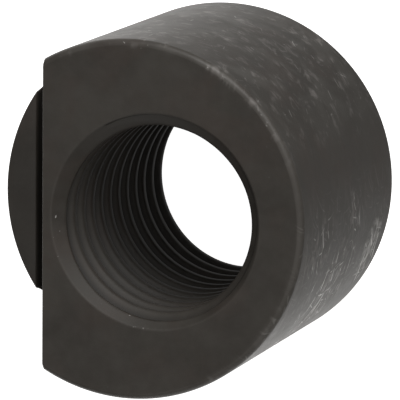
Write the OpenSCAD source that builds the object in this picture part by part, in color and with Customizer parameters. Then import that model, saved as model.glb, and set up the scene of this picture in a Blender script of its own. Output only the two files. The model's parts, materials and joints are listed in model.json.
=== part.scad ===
// Round eccentric nut with one flat.
// A short length of round bar. The upper part has one flat milled down to a shoulder,
// and a threaded hole runs right through it, off centre and away from the flat.
// Frame: +Z up, origin on the axis of the round bar at the middle of its lower face.
// The flat faces -X, and the threaded hole is moved towards +X. Units are millimetres.

/* [Bar] */
// diameter of the round bar
bar_d = 40; // [33:0.5:60]
// length of the nut along its axis
bar_h = 36; // [26:0.5:60]
// rounding of the outer edge of both end faces
rim_round = 0.65; // [0.2:0.05:1.5]

/* [Flat] */
// thinnest metal between the edge of the thread's mouth and the flat
flat_wall = 1; // [0.3:0.1:4]
// how far the flat runs down from the upper face to its shoulder
flat_h = 16; // [6:0.5:24]

/* [Relief at the foot of the flat] */
// width of the round-bottomed channel between the flat and the shoulder land
relief_w = 6.5; // [2:0.1:8]
// depth of the channel below the shoulder land
relief_depth = 3; // [0.4:0.1:3]

/* [Thread] */
// nominal thread diameter, across the bottoms of the grooves
thread_d = 24; // [16:0.5:30]
// distance from one groove to the next along the axis
thread_pitch = 3; // [1:0.25:4]
// distance from the bar's axis to the threaded hole's axis
bore_offset = 3; // [0:0.1:6]
// how much wider than the thread each mouth's cone opens, on the diameter
mouth_clear = 0; // [0:0.1:2]
// angle between the two sides of the mouth's cone
mouth_angle = 90; // [60:1:120]

/* [Hidden] */
// sides of a true circle
$fn = 96;
// how far a cutter runs past the face it opens on
over = 1;
bar_r = bar_d / 2;

// the hole is drilled one pitch smaller than the thread, and that leaves the crests
bore_r = (thread_d - thread_pitch) / 2;
root_r = thread_d / 2;

// the cone that leads into the thread at each mouth
mouth_r = root_r + mouth_clear / 2;
mouth_slope = tan(mouth_angle / 2);
mouth_depth = (mouth_r - bore_r) / mouth_slope;

// the flat stands its own wall away from the mouth, so it follows the thread's size
flat_offset = mouth_r + flat_wall - bore_offset;
shoulder_z = bar_h - flat_h;

// relief channel: an arc that stands on the chord relief_w with the height relief_depth
relief_r = (relief_w * relief_w / 4 + relief_depth * relief_depth) / (2 * relief_depth);
relief_x = -flat_offset - relief_w / 2;
relief_z = shoulder_z - relief_depth + relief_r;

// thread groove: a 60 degree form with a flat an eighth of the pitch wide at its bottom
flank_angle = 30;
root_flat = thread_pitch / 8;
// the groove's section starts this far inside the crests, in the open hole
crest_over = 0.3;
cut_r = bore_r - crest_over;
cut_flat = root_flat + 2 * (root_r - cut_r) * tan(flank_angle);
// whole grooves between the two mouths, centred on the nut's length
groove_count = floor((bar_h - 2 * mouth_depth) / thread_pitch);
first_groove_z = (bar_h - (groove_count - 1) * thread_pitch) / 2;

// Upright half-section of the bar, with both outer corners rounded.
module bar_section() {
    square([bar_r - rim_round, bar_h]);
    translate([0, rim_round]) square([bar_r, bar_h - 2 * rim_round]);
    for (z = [rim_round, bar_h - rim_round])
        translate([bar_r - rim_round, z]) circle(r = rim_round);
}

// Everything in front of the flat, above the shoulder.
module flat_cutter() {
    translate([-bar_r - over, -bar_r - over, shoulder_z])
        cube([bar_r - flat_offset + over, 2 * (bar_r + over), flat_h + over]);
}

// Round-bottomed channel along the foot of the flat; it never cuts into the flat.
module relief_cutter() {
    intersection() {
        translate([relief_x, bar_r + over, relief_z])
            rotate([90, 0, 0]) cylinder(r = relief_r, h = 2 * (bar_r + over));
        translate([-bar_r - over, -bar_r - over, shoulder_z - relief_depth - over])
            cube([bar_r - flat_offset + over, 2 * (bar_r + over), relief_depth + 2 * over]);
    }
}

// Half-section of one mouth's cone, opening downwards at the lower face.
module mouth_section() {
    polygon([[0, -over], [mouth_r + over * mouth_slope, -over],
             [bore_r, mouth_depth], [0, mouth_depth]]);
}

// Half-section of one thread groove, centred on its own height.
module groove_section() {
    polygon([[cut_r, -cut_flat / 2], [root_r, -root_flat / 2],
             [root_r, root_flat / 2], [cut_r, cut_flat / 2]]);
}

// The hole with its mouths and thread. The helical groove stands here as level rings
// with the thread's true section, depth and pitch, so every crest is a true cylinder.
module threaded_hole_cutter() {
    rotate_extrude() {
        translate([0, -over]) square([bore_r, bar_h + 2 * over]);
        mouth_section();
        translate([0, bar_h]) mirror([0, 1]) mouth_section();
        for (i = [0 : groove_count - 1])
            translate([0, first_groove_z + i * thread_pitch]) groove_section();
    }
}

// The nut: one piece of blackened steel.
module nut() {
    color("dimgray")
        difference() {
            rotate_extrude() bar_section();
            flat_cutter();
            relief_cutter();
            translate([bore_offset, 0, 0]) threaded_hole_cutter();
        }
}

nut();
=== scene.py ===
# %% [markdown]
# # A round eccentric nut with one flat
# The nut is one piece of round steel bar, blackened in a hot salt bath. One flat is milled
# on its upper part down to a shoulder, and a threaded hole runs through it off centre.
# The CAD model is the fixed frame: its box and its mounts give every main size here, so
# the mesh that is seen stays in the place that the solids hold.

# %% Load the frame and read the nut's sizes
import json
import math

import bmesh
import bpy
from mathutils import Matrix, Vector


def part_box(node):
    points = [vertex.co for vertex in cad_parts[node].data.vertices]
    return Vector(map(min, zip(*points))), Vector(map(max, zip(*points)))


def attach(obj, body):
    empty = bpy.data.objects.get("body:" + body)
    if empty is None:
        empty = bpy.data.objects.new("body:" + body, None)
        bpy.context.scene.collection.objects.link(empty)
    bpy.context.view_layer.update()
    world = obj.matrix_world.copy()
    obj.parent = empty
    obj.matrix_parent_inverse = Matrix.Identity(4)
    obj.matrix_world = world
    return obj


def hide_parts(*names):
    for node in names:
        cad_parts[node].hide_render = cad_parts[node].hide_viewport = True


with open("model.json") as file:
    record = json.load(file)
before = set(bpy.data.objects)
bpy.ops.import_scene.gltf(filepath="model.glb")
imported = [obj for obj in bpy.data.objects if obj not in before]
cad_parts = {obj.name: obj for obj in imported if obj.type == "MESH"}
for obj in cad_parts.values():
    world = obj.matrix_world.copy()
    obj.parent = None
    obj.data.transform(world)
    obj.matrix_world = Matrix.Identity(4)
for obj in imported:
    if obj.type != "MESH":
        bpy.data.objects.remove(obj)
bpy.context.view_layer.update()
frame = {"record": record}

MM = 0.001
nut_low, nut_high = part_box("nut")
mounts = {mount["name"]: mount for mount in frame["record"]["mounts"]}
bar_radius = (nut_high.y - nut_low.y) / 2
nut_height = nut_high.z - nut_low.z
flat_distance = -mounts["flat"]["pos_m"][0]
shoulder_height = mounts["shoulder"]["pos_m"][2]
hole_x = mounts["thread"]["pos_m"][0]
crest_radius = mounts["thread"]["dims"]["r_mm"] * MM
print(f"bar {2 * bar_radius / MM:.1f} mm across, {nut_height / MM:.1f} mm high")
print(f"flat {flat_distance / MM:.1f} mm off the axis, hole {hole_x / MM:.1f} mm off centre")

# %% [markdown]
# ## The camera
# A long lens far from the nut shows it almost in parallel, as a catalogue view does. The
# camera stands high over the nut's face and a little to the +X side, so the hole is seen
# right through and the round side shows below the face. A camera is placed by the point
# that it looks at, two angles, a distance and a small roll, because those are the things
# that a person would change.

# %% Camera
look_at = Vector((2.435, -0.344, 18.0)) * MM
camera_azimuth = math.radians(28.07)
camera_elevation = math.radians(69.92)
camera_distance = 552.3 * MM
camera_roll = math.radians(0.459)
lens_mm = 440.7
sensor_mm = 36.0

to_camera = Vector((
    math.cos(camera_elevation) * math.cos(camera_azimuth),
    math.cos(camera_elevation) * math.sin(camera_azimuth),
    math.sin(camera_elevation),
))
up_hint = Vector((0, 1, 0))
right = up_hint.cross(to_camera).normalized()
up = to_camera.cross(right)
turn = Matrix((right, up, to_camera)).transposed() @ Matrix.Rotation(camera_roll, 3, "Z")
camera_data = bpy.data.cameras.new("camera")
camera_data.lens = lens_mm
camera_data.sensor_width = sensor_mm
camera_data.clip_end = 100
camera = bpy.data.objects.new("camera", camera_data)
camera.matrix_world = Matrix.Translation(look_at + to_camera * camera_distance) @ turn.to_4x4()
bpy.context.scene.collection.objects.link(camera)
bpy.context.scene.camera = camera
print(f"camera {camera_distance / MM:.0f} mm away with a {lens_mm:.0f} mm lens")

# %% [markdown]
# ## Node graphs as Python expressions
# The thread's Geometry Nodes tree and the steel's shader are both mostly arithmetic. Adding
# Math nodes by hand hides the formula, so one small class wraps a number socket and turns
# Python's operators into Math nodes. One method adds every other node from its type, its
# settings and the values or links of its sockets.


# %% Graph and Number
class Number:
    """A number socket. Python's operators on it add Math nodes."""

    def __init__(self, graph, socket):
        self.graph = graph
        self.socket = socket

    def math(self, operation, *others):
        inputs = dict(enumerate((self, *others)))
        return self.graph.node("ShaderNodeMath", {"operation": operation}, inputs).number()

    def __add__(self, other):
        return self.math("ADD", other)

    def __sub__(self, other):
        return self.math("SUBTRACT", other)

    def __mul__(self, other):
        return self.math("MULTIPLY", other)

    def __truediv__(self, other):
        return self.math("DIVIDE", other)

    def __rsub__(self, other):
        return (self * -1) + other

    def __rtruediv__(self, other):
        return self.math("POWER", -1.0) * other

    def __pow__(self, other):
        return self.math("POWER", other)

    def __neg__(self):
        return self * -1

    def __abs__(self):
        return self.math("ABSOLUTE")

    __radd__ = __add__
    __rmul__ = __mul__

    def least(self, other):
        return self.math("MINIMUM", other)

    def most(self, other):
        return self.math("MAXIMUM", other)

    def soft_most(self, other, blend):
        return self.math("SMOOTH_MAX", other, blend)

    def between(self, low, high):
        return self.most(low).least(high)

    def ramp(self, low, high):
        """0 below low, 1 above high and a smooth step between them. high may be the lower one."""
        part = ((self - low) / (high - low)).between(0.0, 1.0)
        return part * part * (3.0 - part * 2.0)


class Node:
    """A node that was added, with its outputs by name."""

    def __init__(self, graph, node):
        self.graph = graph
        self.node = node

    def out(self, name=0):
        return self.node.outputs[name]

    def number(self, name=0):
        return Number(self.graph, self.out(name))


class Graph:
    """A node tree, shader or geometry, that is built by calls."""

    def __init__(self, tree):
        self.tree = tree

    def node(self, kind, settings=None, inputs=None):
        node = self.tree.nodes.new(kind)
        for name, value in (settings or {}).items():
            setattr(node, name, value)
        for name, value in (inputs or {}).items():
            self.connect(value, node.inputs[name])
        return Node(self, node)

    def connect(self, value, socket):
        if isinstance(value, Number):
            value = value.socket
        if isinstance(value, bpy.types.NodeSocket):
            self.tree.links.new(value, socket)
        else:
            socket.default_value = value

    def mix(self, factor, first, second):
        """A colour between two colours."""
        settings = {"data_type": "RGBA"}
        return self.node("ShaderNodeMix", settings, {0: factor, 6: first, 7: second}).out(2)


# %% [markdown]
# ## The threaded hole
# A tap cuts one helical groove with 60 degree flanks into a drilled hole, and a countersink
# opens each mouth. The groove could be a swept profile with a boolean, but booleans of a
# long helix leave slivers at the mouths. The wall of the hole follows a rule, so it is a
# Geometry Nodes tree: a flat grid is rolled into a tube whose rows climb one pitch in each
# turn, and the radius of each point comes from its distance to the groove's centre line.
# Rows that follow the helix keep the crests as crisp lines. Where the cone of a mouth is
# wider than the thread, the cone wins, and the groove runs out through it as it does after
# a tap. Rows past an end are held at the end, and Merge by Distance closes the tube. The
# CAD solid has level rings in place of the thread, so this mesh alone shows it as a helix.

# %% Sizes of the thread
thread_pitch = 3.0 * MM
root_radius = crest_radius + thread_pitch / 2
mouth_radius = root_radius
mouth_lip = 0.12 * MM
groove_turn = 0.3235
crest_softness = 0.30 * MM
hole_columns = 240
rows_per_pitch = 16
weld = 0.012 * MM
print(f"thread M{2 * root_radius / MM:.0f} x {thread_pitch / MM:.0f}")


# %% The tree that makes the threaded hole
def threaded_hole_tree(material):
    tree = bpy.data.node_groups.new("threaded_hole", "GeometryNodeTree")
    tree.is_modifier = True
    sizes = {
        "Height": nut_height,
        "Hole X": hole_x,
        "Pitch": thread_pitch,
        "Crest Radius": crest_radius,
        "Root Radius": root_radius,
        "Mouth Radius": mouth_radius,
        "Lip": mouth_lip,
        "Groove Turn": groove_turn,
        "Crest Softness": crest_softness,
    }
    counts = {"Columns": hole_columns, "Rows per Pitch": rows_per_pitch}
    interface = tree.interface
    for name, value in sizes.items():
        socket = interface.new_socket(name, in_out="INPUT", socket_type="NodeSocketFloat")
        socket.default_value = value
    for name, value in counts.items():
        socket = interface.new_socket(name, in_out="INPUT", socket_type="NodeSocketInt")
        socket.default_value = value
    socket = interface.new_socket("Steel", in_out="INPUT", socket_type="NodeSocketMaterial")
    socket.default_value = material
    interface.new_socket("Geometry", in_out="OUTPUT", socket_type="NodeSocketGeometry")

    graph = Graph(tree)
    given = graph.node("NodeGroupInput")
    height = given.number("Height")
    pitch = given.number("Pitch")
    crest = given.number("Crest Radius")
    root = given.number("Root Radius")
    mouth = given.number("Mouth Radius")
    lip = given.number("Lip")
    columns = given.number("Columns")
    per_pitch = given.number("Rows per Pitch")

    # a flat grid, one unit wide and high, is the wall of the hole laid out
    turns = (height / pitch - 0.01).math("CEIL") + 1.0
    grid = graph.node("GeometryNodeMeshGrid", {}, {
        "Size X": 1.0, "Size Y": 1.0,
        "Vertices X": columns + 1.0,
        "Vertices Y": turns * per_pitch + 1.0,
    })
    place = graph.node("GeometryNodeInputPosition")
    split = graph.node("ShaderNodeSeparateXYZ", {}, {"Vector": place.out()})
    around = split.number("X") + 0.5
    along = split.number("Y") + 0.5

    # the rows climb one pitch in a turn, and stop at the two mouths
    climb = (along * turns - 1.0 + around) * pitch
    z = climb.between(lip, height - lip)

    # the groove: distance from its centre line, then flat bottom and 60 degree flanks
    waves = z / pitch - around + given.number("Groove Turn") + 0.5
    from_centre = abs(waves.math("FRACT") - 0.5) * pitch
    past_flat = (from_centre - pitch / 8.0 / 2.0).most(0.0)
    groove = root - past_flat * math.tan(math.radians(60.0))
    softness = given.number("Crest Softness")
    from_end = (z - lip).least(height - lip - z)
    mouth_end = mouth - lip
    groove = groove.least(mouth_end + from_end)
    wall = groove.soft_most(crest, softness)
    cone = mouth_end - from_end
    fade = softness.least(from_end * 0.5)
    radius = wall.soft_most(cone, fade)

    angle = around * math.tau
    rolled = graph.node("ShaderNodeCombineXYZ", {}, {
        "X": radius * angle.math("COSINE") + given.number("Hole X"),
        "Y": radius * angle.math("SINE"),
        "Z": z,
    })
    tube = graph.node("GeometryNodeSetPosition", {}, {
        "Geometry": grid.out("Mesh"), "Position": rolled.out()})
    closed = graph.node("GeometryNodeMergeByDistance", {}, {
        "Geometry": tube.out(), "Distance": weld})
    smooth = graph.node("GeometryNodeSetShadeSmooth", {}, {"Geometry": closed.out()})
    real = graph.node("GeometryNodeRealizeInstances", {}, {"Geometry": smooth.out()})
    steel = graph.node("GeometryNodeSetMaterial", {}, {
        "Geometry": real.out(), "Material": given.out("Steel")})
    graph.node("NodeGroupOutput", {}, {"Geometry": steel.out()})
    print(f"threaded hole tree: {len(tree.nodes)} nodes")
    return tree


# %% Turn the tree's result into a plain mesh
def mesh_from_tree(tree, name):
    """Evaluates a Geometry Nodes tree on an empty mesh and returns a plain mesh."""
    holder = bpy.data.objects.new(name, bpy.data.meshes.new(name))
    bpy.context.scene.collection.objects.link(holder)
    modifier = holder.modifiers.new(name, "NODES")
    modifier.node_group = tree
    for item in tree.interface.items_tree:
        if item.in_out == "INPUT":
            modifier[item.identifier] = item.default_value
    bpy.context.view_layer.update()
    evaluated = holder.evaluated_get(bpy.context.evaluated_depsgraph_get())
    mesh = bpy.data.meshes.new_from_object(evaluated)
    bpy.data.objects.remove(holder)
    print(f"{name}: {len(mesh.vertices)} points, {len(mesh.polygons)} faces")
    return mesh


# %% [markdown]
# ## The outside, as sections
# The outside is a turned bar with one milled flat. Each half-plane through the bar's axis
# cuts it in one open line: out along the lower face, round the rim, up the side, in over
# the shoulder and its relief channel, up the flat, and round the upper rim. Where there is
# no flat, the shoulder's points fall together on the side. Sections around the whole turn,
# closer together at the corners of the flat, are joined into a skin. A boolean with a bevel
# would need repair at the channel's ends, and here each edge gets its own small rounding.

# %% Sizes of the outside
rim_round = 0.65 * MM
edge_break = 0.14 * MM
corner_softness = 0.25 * MM
hold = 0.10 * MM
channel_width = 6.5 * MM
channel_depth = 3.0 * MM
channel_x = -flat_distance - channel_width / 2
channel_radius = (channel_width**2 / 4 + channel_depth**2) / (2 * channel_depth)
channel_axis_z = shoulder_height - channel_depth + channel_radius
land_x = -flat_distance - channel_width


# %% Helpers for the sections
def soft_min(a, b, blend):
    near = max(blend - abs(a - b), 0.0) / blend
    return min(a, b) - near * near * blend / 4


def smooth_step(value, low, high):
    part = min(max((value - low) / (high - low), 0.0), 1.0)
    return part * part * (3 - 2 * part)


def steps(start, stop, count):
    """count values from start to stop, with both ends."""
    return [start + (stop - start) * i / (count - 1) for i in range(count)]


def floor_of_shoulder(x):
    """Height of the shoulder's land and channel at a distance x along the row's X."""
    across = min(abs(x - channel_x), channel_radius * 0.999)
    channel = channel_axis_z - math.sqrt(channel_radius**2 - across**2)
    if x > channel_x:
        return min(channel, shoulder_height)
    return soft_min(channel, shoulder_height, edge_break)


def upper_outline(angle):
    """Radius of the D-shaped upper part, with its two corners a little rounded."""
    toward_flat = max(-math.cos(angle), 1e-6)
    return soft_min(bar_radius, flat_distance / toward_flat, corner_softness)


# %% One section of the outside
def section(angle):
    """Points (radius, height, wear) from the lower face to the upper face."""
    cosine = math.cos(angle)
    inner = upper_outline(angle)
    ledge = bar_radius - inner
    break_here = min(edge_break, ledge / 3)
    ledge_top = floor_of_shoulder(max(bar_radius * cosine, -bar_radius))
    rim_start = bar_radius - rim_round
    points = [(rim_start - 4 * hold, 0.0, 0.0), (rim_start - hold, 0.0, 0.0)]
    for turn_part in steps(0.0, math.pi / 2, 7):
        points.append((
            rim_start + rim_round * math.sin(turn_part),
            rim_round - rim_round * math.cos(turn_part), 1.0))
    points.append((bar_radius, rim_round + hold, 0.3))
    side_top = ledge_top - break_here
    for height in steps(rim_round + 6 * hold, side_top - hold, 24):
        points.append((bar_radius, height, 0.0))
    worn = smooth_step(ledge, 0.0, 1.0 * MM)
    points.append((bar_radius, side_top, 0.8 * worn))
    points.append((bar_radius - break_here * 0.3, ledge_top - break_here * 0.3, worn))
    stops = steps(-bar_radius, land_x - hold, 4)
    stops += [channel_x - channel_width / 2 * math.cos(part) for part in steps(0.0, math.pi, 16)]
    for x in stops:
        radius = x / cosine if cosine < -0.2 else inner
        radius = min(max(radius, inner), bar_radius - break_here)
        on_edge = 0.8 * worn if radius == bar_radius - break_here else 0.0
        if abs(x - land_x) < 2 * hold:
            on_edge = max(on_edge, 0.35 * worn)
        points.append((radius, floor_of_shoulder(radius * cosine), on_edge))
    upper_round = rim_round + (edge_break - rim_round) * smooth_step(ledge, 0.0, 0.6 * MM)
    foot = floor_of_shoulder(inner * cosine)
    for height in steps(foot, nut_height - rim_round - 2 * hold, 22)[1:]:
        points.append((inner, height, 0.0))
    points.append((inner, nut_height - upper_round - hold, 0.3))
    for turn_part in steps(0.0, math.pi / 2, 7):
        points.append((
            inner - upper_round + upper_round * math.cos(turn_part),
            nut_height - upper_round + upper_round * math.sin(turn_part), 1.0))
    points.append((inner - upper_round - hold, nut_height, 0.0))
    return points


# %% Where the sections stand
def section_angles():
    """Even steps around the bar, with closer ones at the flat's corners and the land's ends."""
    even = [math.tau * i / 240 for i in range(240)]
    corner = math.pi - math.acos(flat_distance / bar_radius)
    land_end = math.pi - math.acos(-land_x / bar_radius)
    close = []
    for middle, reach, count in ((corner, 0.045, 15), (land_end, 0.02, 7)):
        for offset in steps(-reach, reach, count):
            close += [middle + offset, math.tau - middle - offset]
    least_gap = 0.004
    kept = list(close)
    for angle in even:
        if all(abs(angle - other) > least_gap for other in close):
            kept.append(angle)
    return sorted(kept)


angles = section_angles()
print(f"{len(angles)} sections of {len(section(0.0))} points")


# %% [markdown]
# ## One closed skin
# The skin of sections stops short of the hole at both faces, and the threaded wall stops
# just inside each mouth. Two rings of faces close the gap: a narrow rounded lip at the
# mouth's edge, and the flat face between the lip and the rim. The number of points differs
# on the two rings of a face, so they are zipped together by angle around the hole.

# %% Zip two rings, and build the lips
def ring_at(mesh, radius, height):
    """A ring of points around the hole, in the same places around as the thread's columns."""
    ring = []
    for i in range(hole_columns):
        angle = math.tau * i / hole_columns
        place = (hole_x + radius * math.cos(angle), radius * math.sin(angle), height)
        ring.append(mesh.verts.new(place))
    return ring


def join_rings(mesh, first, second):
    count = len(first)
    for i in range(count):
        j = (i + 1) % count
        mesh.faces.new((first[i], first[j], second[j], second[i]))


def zip_rings(mesh, outer, inner):
    """Triangles between two rings of different lengths, taken in turn by angle around the hole."""
    def around(vertex):
        return math.atan2(vertex.co.y, vertex.co.x - hole_x) % math.tau

    outer = sorted(outer, key=around)
    inner = sorted(inner, key=around)
    i = j = 0
    while i < len(outer) or j < len(inner):
        a, b = outer[i % len(outer)], inner[j % len(inner)]
        next_a = around(outer[i]) if i < len(outer) else math.inf
        next_b = around(inner[j]) if j < len(inner) else math.inf
        after_a = around(outer[i + 1]) if i + 1 < len(outer) else math.tau + around(outer[0])
        after_b = around(inner[j + 1]) if j + 1 < len(inner) else math.tau + around(inner[0])
        if j >= len(inner) or (i < len(outer) and after_a <= after_b):
            mesh.faces.new((a, outer[(i + 1) % len(outer)], b))
            i += 1
        else:
            mesh.faces.new((a, inner[(j + 1) % len(inner)], b))
            j += 1


def lip(mesh, height, outward):
    """The rounded edge of a mouth. outward is 1 at the upper face and -1 at the lower one."""
    profile = (
        (mouth_radius + mouth_lip + hold, 0.0),
        (mouth_radius + mouth_lip, 0.0),
        (mouth_radius + mouth_lip * 0.3, 0.12 * mouth_lip),
        (mouth_radius - mouth_lip * 0.45, 0.5 * mouth_lip),
        (mouth_radius - mouth_lip, mouth_lip),
    )
    rings = [ring_at(mesh, radius, height - outward * drop) for radius, drop in profile]
    for first, second in zip(rings, rings[1:]):
        join_rings(mesh, first, second)
    return rings


# %% Build the nut's mesh
def build_nut(material):
    mesh = bmesh.new()
    wear = mesh.verts.layers.float.new("wear")
    columns = []
    for angle in angles:
        column = []
        for radius, height, worn in section(angle):
            vertex = mesh.verts.new((radius * math.cos(angle), radius * math.sin(angle), height))
            vertex[wear] = worn
            column.append(vertex)
        columns.append(column)
    for first, second in zip(columns, columns[1:] + columns[:1]):
        for i in range(len(first) - 1):
            mesh.faces.new((first[i], second[i], second[i + 1], first[i + 1]))
    lower_lip = lip(mesh, 0.0, -1)
    upper_lip = lip(mesh, nut_height, 1)
    for rings in (lower_lip, upper_lip):
        for vertex in rings[1] + rings[2] + rings[3]:
            vertex[wear] = 1.0
    zip_rings(mesh, [column[0] for column in columns], lower_lip[0])
    zip_rings(mesh, [column[-1] for column in columns], upper_lip[0])
    mesh.from_mesh(mesh_from_tree(threaded_hole_tree(material), "threaded_hole"))
    bmesh.ops.remove_doubles(mesh, verts=mesh.verts, dist=weld)
    bmesh.ops.dissolve_degenerate(mesh, edges=mesh.edges, dist=1e-7)
    bmesh.ops.recalc_face_normals(mesh, faces=mesh.faces)
    open_edges = [edge for edge in mesh.edges if len(edge.link_faces) != 2]
    volume = mesh.calc_volume() / MM**3
    print(f"nut: {len(mesh.faces)} faces, {len(open_edges)} open edges, {volume:.0f} mm3")
    return mesh


# %% [markdown]
# ## Blackened steel
# Hot blackening turns the surface of steel into a thin dark oxide, with a trace of oil on it.
# It is nearly black and a little warm, it is cloudy where the bath worked unevenly, and it
# rubs off: edges turn grey first, then the high spots of the side that slides, and hard
# contact leaves bright scratches. A painted texture could hold this, but the marks here
# follow rules, so patterns in the nut's own coordinates are shaped into masks. Noise makes
# the clouds, scuffs and smears, and each scratch lies in its own cell of a Voronoi pattern.
# The masks mix a few colours. The scratches and nicks also drive roughness, metal and bump,
# so that a scratch is bright, smoother and cut into the surface all at once.

# %% Places on the nut, for the masks
class Places:
    """Where a point of the steel is, in millimetres, as numbers for the masks."""

    def __init__(self, graph):
        self.graph = graph
        coordinates = graph.node("ShaderNodeTexCoord")
        scaled = graph.node("ShaderNodeVectorMath", {"operation": "SCALE"}, {
            "Vector": coordinates.out("Object"), "Scale": 1 / MM})
        self.vector = scaled.out()
        split = graph.node("ShaderNodeSeparateXYZ", {}, {"Vector": scaled.out()})
        self.x, self.y, self.z = (split.number(axis) for axis in "XYZ")
        self.radius = (self.x * self.x + self.y * self.y) ** 0.5
        attribute = graph.node("ShaderNodeAttribute", {"attribute_name": "wear"})
        self.wear = attribute.number("Fac")

    def toward(self, degrees):
        """How far a point lies towards a direction around the bar, from -1 to 1 on its side."""
        angle = math.radians(degrees)
        return (self.x * math.cos(angle) + self.y * math.sin(angle)) / (bar_radius / MM)

    def noise(self, size, detail=3.0, roughness=0.5, distortion=0.0, vector=None):
        """Noise from 0 to 1 with spots of about the given size in millimetres."""
        node = self.graph.node("ShaderNodeTexNoise", {}, {
            "Vector": vector or self.vector, "Scale": 1 / size, "Detail": detail,
            "Roughness": roughness, "Distortion": distortion})
        return node.number(0)

    def drawn_out(self, degrees, lean, stretch, shift):
        """Coordinates drawn out along a direction that lies on the side and faces degrees.

        lean is the climb along the bar for each millimetre around it, and shift picks
        another part of the noise.
        """
        around = self.toward(degrees + 90) * (bar_radius / MM)
        combined = self.graph.node("ShaderNodeCombineXYZ", {}, {
            "X": self.z - around * lean + shift,
            "Y": (around + self.z * lean) / stretch - shift,
            "Z": self.toward(degrees) * 2.0})
        return combined.out()

    def patch(self, degrees, height, radius):
        """A ragged round patch of the side, with its middle at an angle and a height."""
        around = self.toward(degrees + 90) * (bar_radius / MM)
        climb = self.z - height
        distance = (around * around + climb * climb) ** 0.5
        ragged = distance + (self.noise(2.4, 3.0, 0.6) - 0.5) * radius * 1.6
        return ragged.ramp(radius, radius * 0.35) * self.toward(degrees).ramp(0.2, 0.5)

    def scratches(self, degrees, cell, lean, spread, length, width, shift):
        """One bent scratch in each cell of a flat Voronoi pattern, turned by the cell's colour.

        lean is the usual slope in degrees from level, and spread is how far it may vary.
        """
        graph = self.graph
        around = self.toward(degrees + 90) * (bar_radius / MM)
        flat = graph.node("ShaderNodeCombineXYZ", {}, {
            "X": around + shift, "Y": self.z - shift, "Z": 0.0}).out()
        cells = graph.node("ShaderNodeTexVoronoi", {"voronoi_dimensions": "2D"}, {
            "Vector": flat, "Scale": 1 / cell, "Randomness": 1.0})
        offset = graph.node("ShaderNodeVectorMath", {"operation": "SUBTRACT"}, {
            0: flat, 1: cells.out("Position")})
        split = graph.node("ShaderNodeSeparateXYZ", {}, {"Vector": offset.out()})
        dice = graph.node("ShaderNodeSeparateColor", {}, {"Color": cells.out("Color")})
        first, second, third = (dice.number(name) for name in ("Red", "Green", "Blue"))
        turned = (first - 0.5) * math.radians(spread) + math.radians(lean)
        cosine, sine = turned.math("COSINE"), turned.math("SINE")
        dx, dy = split.number("X"), split.number("Y")
        along = dx * cosine + dy * sine
        bend = (second - 0.5) * (0.5 / length)
        across = dy * cosine - dx * sine + along * along * bend
        ends = (abs(along) / (third * 0.7 + 0.3)).ramp(length, length * 0.55)
        return abs(across).ramp(width, width * 0.2) * ends * second.ramp(0.1, 0.9)


# %% Where the sides of the nut are, in degrees around the bar
rub_side = -30
held_side = 70
nicked_side = 42
glinting_side = 262
print(f"rubbed at {rub_side}, held at {held_side}, nicked at {nicked_side} degrees")


# %% Masks of the regions
def region_masks(places):
    """The round side, its two worn areas, the hole, and painted shade in the grooves and the
    channel.
    """
    radius, z = places.radius, places.z
    top = nut_height / MM
    shoulder = shoulder_height / MM
    side = radius.ramp(bar_radius / MM - 1.2, bar_radius / MM - 0.3)
    hole_away = places.x - hole_x / MM
    from_hole = (hole_away * hole_away + places.y * places.y) ** 0.5
    in_hole = from_hole.ramp(mouth_radius / MM + 0.1, mouth_radius / MM)
    groove = from_hole.ramp(crest_radius / MM + 0.3, crest_radius / MM + 1.0) * in_hole
    channel_low = shoulder - channel_depth / MM - 0.3
    channel = places.x.ramp(land_x / MM - 0.02, land_x / MM + 0.15) * radius.ramp(19.95, 19.7)
    channel = channel * places.x.ramp(-flat_distance / MM + 0.3, -flat_distance / MM - 0.1)
    channel = channel * z.ramp(channel_low - 0.3, channel_low) * z.ramp(shoulder, shoulder - 0.2)
    glinting = math.radians(glinting_side)
    glint_way = hole_away * math.cos(glinting) + places.y * math.sin(glinting)
    return {
        "side": side,
        "rubbed": places.toward(rub_side).ramp(0.70, 0.97) * side,
        "handled": places.toward(held_side).ramp(0.55, 0.98) * side,
        "in_hole": in_hole,
        "at_mouth": in_hole.most(from_hole.ramp(mouth_radius / MM + 0.5, mouth_radius / MM + 0.3)),
        "near_top": z.ramp(top - 2.0, top - 1.0),
        "toward_glints": glint_way / (mouth_radius / MM),
        # painted shade: the hole's grooves below the first turns and the relief channel beside the
        # flat are darkened where shadow falls
        "grime": (groove * z.ramp(top - 1.6, top - 3.0)).most(channel),
    }


# %% Masks of the oxide's own unevenness
def oxide_masks(places):
    return {
        "clouds": places.noise(9.0, 4.0, 0.55, 0.6),
        "tints": places.noise(6.0, 3.0, 0.5, 0.4),
        "spots": places.noise(1.6, 4.0, 0.6),
        "grain": places.noise(0.16, 2.0, 0.6),
    }


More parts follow.
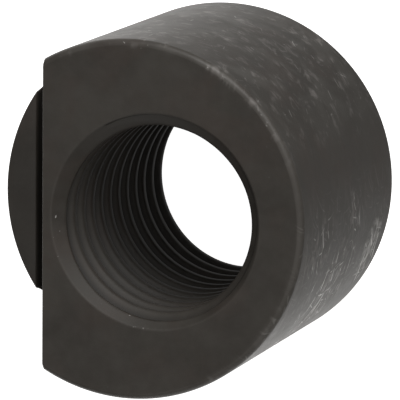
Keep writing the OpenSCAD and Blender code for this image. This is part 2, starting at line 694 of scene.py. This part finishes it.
# %% Masks of the rubbed side
def rub_masks(places, regions):
    """Clusters of scratches and scuffs, and one pale smudge."""
    rubbed = regions["rubbed"]
    cluster = places.patch(-31, 18, 8.0)
    for degrees, height, reach in ((-8, 28, 4.6), (-6, 15, 3.6), (-22, 5, 4.5), (-49, 21, 4.0)):
        cluster = cluster.most(places.patch(degrees, height, reach))
    scuffs = places.noise(1.5, 5.0, 0.7, 1.2, places.drawn_out(rub_side, 0.3, 1.6, 11.0))

    long_ones = places.scratches(
        rub_side, cell=4.0, lean=18, spread=40, length=3.0, width=0.19, shift=3.0)
    more_long = places.scratches(
        rub_side, cell=2.6, lean=8, spread=70, length=1.8, width=0.14, shift=41.0)
    short_ones = places.scratches(
        rub_side, cell=1.4, lean=20, spread=170, length=0.80, width=0.11, shift=57.0)
    axial = places.scratches(
        rub_side, cell=3.0, lean=80, spread=50, length=1.8, width=0.11, shift=23.0)
    stray = places.scratches(
        held_side, cell=3.8, lean=-60, spread=120, length=0.8, width=0.09, shift=71.0)
    lines = long_ones.most(more_long * 0.85).most(axial * 0.7).most(short_ones * 0.75)
    lines = lines * (cluster * 0.95 + rubbed * 0.12).least(1.0)
    lines = lines + stray * regions["side"] * regions["handled"] * 0.4
    return {
        "smudge": places.patch(-20, 5, 4.2) * scuffs.ramp(0.42, 0.58),
        "scuffs": scuffs.ramp(0.48, 0.62) * (cluster * 0.8 + rubbed * 0.2),
        "scratches": lines.between(0.0, 1.0),
    }


# %% Masks of the held side
def held_masks(places, regions):
    """Pale worm-like smears, and a haze around them."""
    handled = regions["handled"]
    smears = places.noise(2.6, 2.0, 0.5, 1.5, places.drawn_out(held_side, -0.7, 1.8, 31.0))
    broken = places.noise(2.2, 3.0, 0.6).ramp(0.48, 0.62)
    haze = places.noise(5.0, 3.0, 0.5, 0.8).ramp(0.42, 0.66) * handled
    worms = abs(smears - 0.5).ramp(0.10, 0.0) * broken * (haze * 0.6 + handled * 0.5)
    return {"haze": haze, "worms": worms}


# %% Masks of the edges
def edge_masks(places, regions):
    """A faint grey along every edge, with bright nicks where the nut was knocked."""
    radius, near_top = places.radius, regions["near_top"]
    at_mouth, toward_glints = regions["at_mouth"], regions["toward_glints"]
    patchy = places.noise(5.0, 2.0, 0.5).ramp(0.38, 0.62)
    chipped = places.noise(0.8, 3.0, 0.6).ramp(0.57, 0.70) * patchy
    glints = at_mouth * toward_glints.ramp(0.90, 1.0)
    inner_line = radius.ramp(19.25, 19.4) * radius.ramp(19.75, 19.55) * near_top
    knocked = inner_line * places.toward(nicked_side).ramp(0.90, 1.0) * 0.5
    shown = places.toward(nicked_side).ramp(0.3, 1.0) * 0.10 + places.z.ramp(1.0, 0.3) * 0.5
    small_specks = places.noise(0.42, 1.0, 0.5).ramp(0.77, 0.81)
    on_cone = regions["in_hole"] * near_top * toward_glints.ramp(-0.5, 0.2)
    specks = small_specks * (on_cone * patchy + regions["handled"] * 0.3 + 0.02)
    return {
        "edges": places.wear * (0.05 + patchy * 0.10 + shown) * (1.0 - at_mouth * 0.6),
        "chips": (places.wear * chipped * (knocked + glints * 0.5)).between(0.0, 1.0),
        "nicks": specks.between(0.0, 1.0),
    }


# %% The steel's colour
deep_oxide = (0.032, 0.0275, 0.0225, 1)
pale_oxide = (0.046, 0.0405, 0.0340, 1)
brown_oxide = (0.046, 0.0350, 0.0285, 1)
# near-black painted shade for the deep grooves of the hole and the relief channel
grime = (0.008, 0.007, 0.006, 1)
rub_grey = (0.092, 0.087, 0.078, 1)
smear_grey = (0.19, 0.175, 0.165, 1)
smudge_grey = (0.34, 0.33, 0.315, 1)
edge_steel = (0.20, 0.185, 0.17, 1)
bright_steel = (0.78, 0.76, 0.73, 1)


def steel_colour(mix, marks):
    """Oxide first, then painted shade in the hollows, then each kind of wear over the one before
    it.
    """
    colour = mix(marks["clouds"].ramp(0.30, 0.72), deep_oxide, pale_oxide)
    colour = mix(marks["tints"].ramp(0.45, 0.70) * 0.6, colour, brown_oxide)
    colour = mix((marks["spots"] - 0.5) * 0.4 + 0.05, colour, rub_grey)
    # painted shade: the grooves and the channel are darkened towards near-black
    colour = mix(marks["grime"] * 0.85, colour, grime)
    colour = mix(marks["rubbed"] * 0.20 + marks["haze"] * 0.5, colour, rub_grey)
    colour = mix(marks["worms"] * 0.75, colour, smear_grey)
    colour = mix(marks["scuffs"] * 0.75, colour, smear_grey)
    colour = mix(marks["smudge"] * 0.7, colour, smudge_grey)
    colour = mix(marks["edges"] * 0.7, colour, edge_steel)
    colour = mix(marks["scratches"] * 0.85, colour, bright_steel)
    return mix(marks["nicks"].most(marks["chips"]), colour, bright_steel)


# %% The material
def black_steel():
    material = bpy.data.materials.new("black_oxide_steel")
    material.use_nodes = True
    graph = Graph(material.node_tree)
    shader = material.node_tree.nodes["Principled BSDF"]
    places = Places(graph)
    regions = region_masks(places)
    marks = regions | oxide_masks(places)
    for make_masks in (rub_masks, held_masks, edge_masks):
        marks |= make_masks(places, regions)
    graph.connect(steel_colour(graph.mix, marks), shader.inputs["Base Color"])

    worn = marks["scratches"] + marks["nicks"] + marks["chips"] + marks["edges"] * 0.5
    worn = worn.between(0.0, 1.0)
    graph.connect(worn * 0.6, shader.inputs["Metallic"])
    uneven = (marks["clouds"] - 0.5) * 0.18 + (marks["spots"] - 0.5) * 0.14
    roughness = 0.50 + uneven + marks["in_hole"] * 0.08 - worn * 0.14
    graph.connect(roughness.between(0.28, 0.80), shader.inputs["Roughness"])
    shader.inputs["IOR"].default_value = 1.45

    relief = marks["grain"] * 0.5 + marks["spots"] * 0.7 - marks["scratches"] * 0.8 - marks["nicks"]
    bump = graph.node("ShaderNodeBump", {}, {
        "Strength": 0.35, "Distance": 0.05 * MM, "Height": relief})
    graph.connect(bump.out(), shader.inputs["Normal"])
    print(f"black oxide steel: {len(marks)} masks, {len(material.node_tree.nodes)} nodes")
    return material


# %% Make the nut
steel = black_steel()
nut_bmesh = build_nut(steel)
nut_mesh = bpy.data.meshes.new("blackened_nut")
nut_bmesh.to_mesh(nut_mesh)
nut_bmesh.free()
for polygon in nut_mesh.polygons:
    polygon.use_smooth = True
nut_mesh.materials.clear()
nut_mesh.materials.append(steel)
nut = bpy.data.objects.new("blackened_nut", nut_mesh)
bpy.context.scene.collection.objects.link(nut)
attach(nut, "root")
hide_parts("nut")

# %% [markdown]
# ## Stage and light
# A small dark part is shown on a white light table, which leaves no shadow under it and
# shines through the hole. One large soft box lights the upper side, and a weaker one stands
# low on the other side. The room is brightest overhead, for the flat faces, and it glows from
# below behind the nut, which gives the round side its bright flanks. The hole is dark a few
# turns down, so a dim disc lies under it, which the camera can't see. It keeps the table and
# the room from lighting the hole from below.

# %% Material of a surface that glows
def glowing_material(name, grey, roughness, glow):
    material = bpy.data.materials.new(name)
    material.use_nodes = True
    shader = material.node_tree.nodes["Principled BSDF"]
    shader.inputs["Base Color"].default_value = (grey, grey, grey, 1)
    shader.inputs["Roughness"].default_value = roughness
    shader.inputs["Emission Color"].default_value = (1, 1, 1, 1)
    shader.inputs["Emission Strength"].default_value = glow
    return material


# %% Light table
def make_light_table():
    half = 1.5
    corners = [(-half, -half, 0), (half, -half, 0), (half, half, 0), (-half, half, 0)]
    mesh = bpy.data.meshes.new("light_table")
    mesh.from_pydata(corners, [], [(0, 1, 2, 3)])
    table = bpy.data.objects.new("light_table", mesh)
    bpy.context.scene.collection.objects.link(table)
    mesh.materials.append(glowing_material("white_acrylic", grey=0.9, roughness=0.6, glow=1.05))
    table.visible_glossy = False
    table.visible_diffuse = False


make_light_table()


# %% Dim disc under the hole
def make_dim_patch():
    """A disc under the hole, unseen by the camera, with the little light that comes up there."""
    mesh = bpy.data.meshes.new("dim_patch")
    disc = bmesh.new()
    centre = Matrix.Translation((hole_x, 0, -0.1 * MM))
    reach = mouth_radius + 0.5 * MM
    bmesh.ops.create_circle(disc, cap_ends=True, segments=64, radius=reach, matrix=centre)
    disc.to_mesh(mesh)
    disc.free()
    patch = bpy.data.objects.new("dim_patch", mesh)
    bpy.context.scene.collection.objects.link(patch)
    mesh.materials.append(glowing_material("dim_table", grey=0.02, roughness=1.0, glow=0.28))
    patch.visible_camera = False


make_dim_patch()


# %% Soft boxes
def soft_box(name, azimuth, elevation, width, height, radiance, distance=0.5):
    """An area light that faces the nut. Its power follows from its size and its radiance."""
    data = bpy.data.lights.new(name, "AREA")
    data.shape = "RECTANGLE"
    data.size = width
    data.size_y = height
    data.energy = radiance * math.pi * width * height
    azimuth, elevation = math.radians(azimuth), math.radians(elevation)
    direction = Vector((
        math.cos(elevation) * math.cos(azimuth),
        math.cos(elevation) * math.sin(azimuth),
        math.sin(elevation)))
    light = bpy.data.objects.new(name, data)
    light.matrix_world = (
        Matrix.Translation(look_at + direction * distance)
        @ direction.to_track_quat("Z", "Y").to_matrix().to_4x4())
    bpy.context.scene.collection.objects.link(light)
    return light


soft_box("key_box", azimuth=64, elevation=31, width=0.45, height=0.25, radiance=4.0)
soft_box("low_box", azimuth=-95, elevation=18, width=0.40, height=0.20, radiance=1.5)

# %% Room
overhead = Vector((0.25, 0.40, 0.88)).normalized()
overhead_glow = 0.70
least_glow = 0.09
below_glow = 0.08
behind_glow = 1.6


def make_room():
    """The surroundings: white to the camera, and otherwise bright overhead and low behind."""
    world = bpy.data.worlds.new("studio")
    bpy.context.scene.world = world
    world.use_nodes = True
    graph = Graph(world.node_tree)
    background = world.node_tree.nodes["Background"]
    direction = graph.node("ShaderNodeTexCoord")
    split = graph.node("ShaderNodeSeparateXYZ", {}, {"Vector": direction.out("Generated")})
    x, y, z = (split.number(axis) for axis in "XYZ")
    away = -(x * to_camera.x + y * to_camera.y) / math.cos(camera_elevation)
    below = z.ramp(0.1, -0.2)
    over = (x * overhead.x + y * overhead.y + z * overhead.z).most(0.0)
    behind = away.ramp(-0.35, 0.45) * behind_glow
    glow = least_glow + over * over * overhead_glow + below * (below_glow + behind)
    seen = graph.node("ShaderNodeLightPath").number("Is Camera Ray")
    strength = seen.most(glow)
    graph.connect(strength, background.inputs["Strength"])
    background.inputs["Color"].default_value = (1, 0.99, 0.97, 1)


make_room()
bpy.context.scene.view_settings.view_transform = "Standard"
